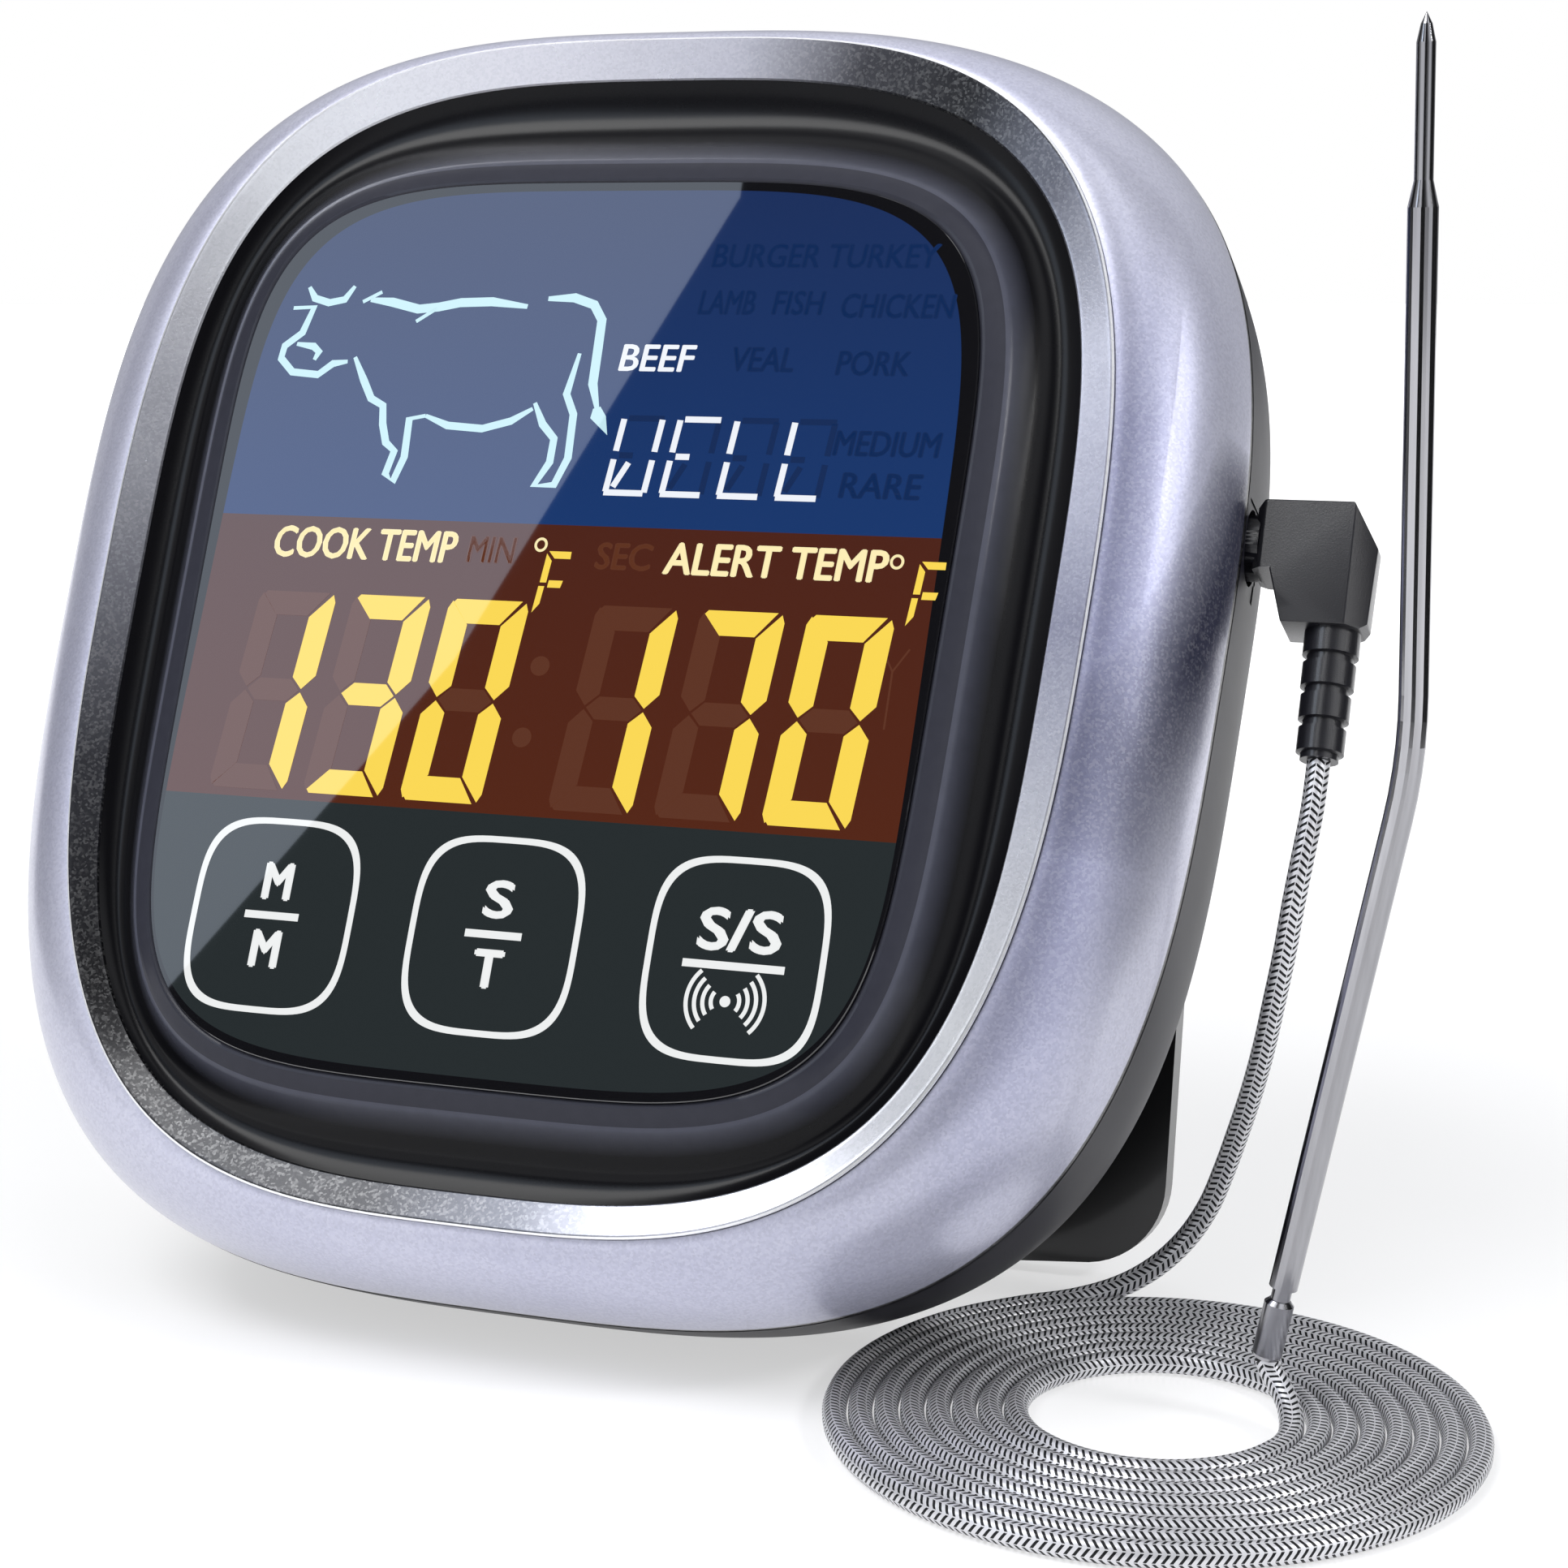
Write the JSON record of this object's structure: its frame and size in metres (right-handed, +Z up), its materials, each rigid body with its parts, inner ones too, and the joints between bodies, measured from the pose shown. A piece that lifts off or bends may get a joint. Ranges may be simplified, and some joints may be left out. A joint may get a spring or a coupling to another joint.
{
  "type": "meat thermometer",
  "caption": "Touch-screen cooking thermometer leaning on a flip-out stand, with a bent steel probe on a coiled braided lead.",
  "frame": {"origin": "centre of the case's rubber foot pad, on the table", "axes": "+X to the right as the screen is read, +Y away from the user, +Z up; the face leans back 26 degrees"},
  "size_m": [0.1267, 0.0815, 0.1022],
  "materials": {
    "glass": "clear, gloss",
    "seal": "matt",
    "gloss_black": "gloss",
    "silver": "satin silver",
    "dark_shell": "satin",
    "inner_plastic": "matt",
    "screen": "gloss",
    "diffuser": "satin",
    "film": "gloss",
    "board": "satin",
    "cell_jacket": "gloss",
    "steel": "bright",
    "knob_plastic": "matt",
    "rubber_foot": "matt",
    "stand_black": "satin",
    "plug_plastic": "fine texture",
    "gold": "polished",
    "boot_rubber": "matt",
    "braid": "white braid with black flecks",
    "probe_steel": "polished"
  },
  "bodies": {
    "case": {"glass_panel": "glass", "glass_seal": "seal", "front_bezel": "gloss_black", "trim_ring": "silver", "side_shell": "silver", "rear_shell": "dark_shell", "front_chassis": "inner_plastic", "lcd_module": "screen", "backlight": "diffuser", "touch_film": "film", "main_board": "board", "driver_chip": "inner_plastic", "buzzer": "inner_plastic", "jack_body": "inner_plastic", "jack_bushing": "steel", "battery_tray": "dark_shell", "cell_upper": "cell_jacket", "cell_lower": "cell_jacket", "spring_contacts": "steel", "plate_contacts": "steel", "switch_body": "inner_plastic", "unit_switch": "inner_plastic", "magnets": "steel", "case_screws": "steel", "foot_pad": "rubber_foot", "stand_pins": "steel"},
    "stand": {"stand_frame": "stand_black", "stand_tip": "rubber_foot"},
    "door": {"battery_door": "dark_shell"},
    "power_knob": {"switch_knob": "knob_plastic"},
    "unit_key": {"unit_button": "knob_plastic"},
    "lead": {"plug_body": "plug_plastic", "plug_pin": "gold", "lead_boot": "boot_rubber", "cord_tube": "braid", "cord_coil": "braid", "cord_riser": "braid", "probe_ferrule": "probe_steel", "probe_shaft": "probe_steel", "probe_tip": "probe_steel"}
  },
  "joints": [
    {"name": "stand_hinge", "type": "hinge", "parent": "case", "child": "stand", "pos_m": [0, 0.03373, 0.06632], "axis": [-1, 0, 0], "range_deg": [0, 16]},
    {"name": "battery_door_hinge", "type": "hinge", "parent": "case", "child": "door", "pos_m": [0, 0.02108, 0.03834], "axis": [-1, 0, 0], "range_deg": [0, 80]},
    {"name": "power_switch_slide", "type": "slide", "parent": "case", "child": "power_knob", "axis": [1, 0, 0], "range_m": [0, 0.003]},
    {"name": "unit_button_press", "type": "slide", "parent": "case", "child": "unit_key", "axis": [0, -0.8988, 0.4384], "range_m": [0, 0.0008], "stiffness_N_per_m": 800},
    {"name": "plug_slide", "type": "slide", "parent": "case", "child": "lead", "axis": [1, 0, 0], "range_m": [0, 0.012]}
  ]
}
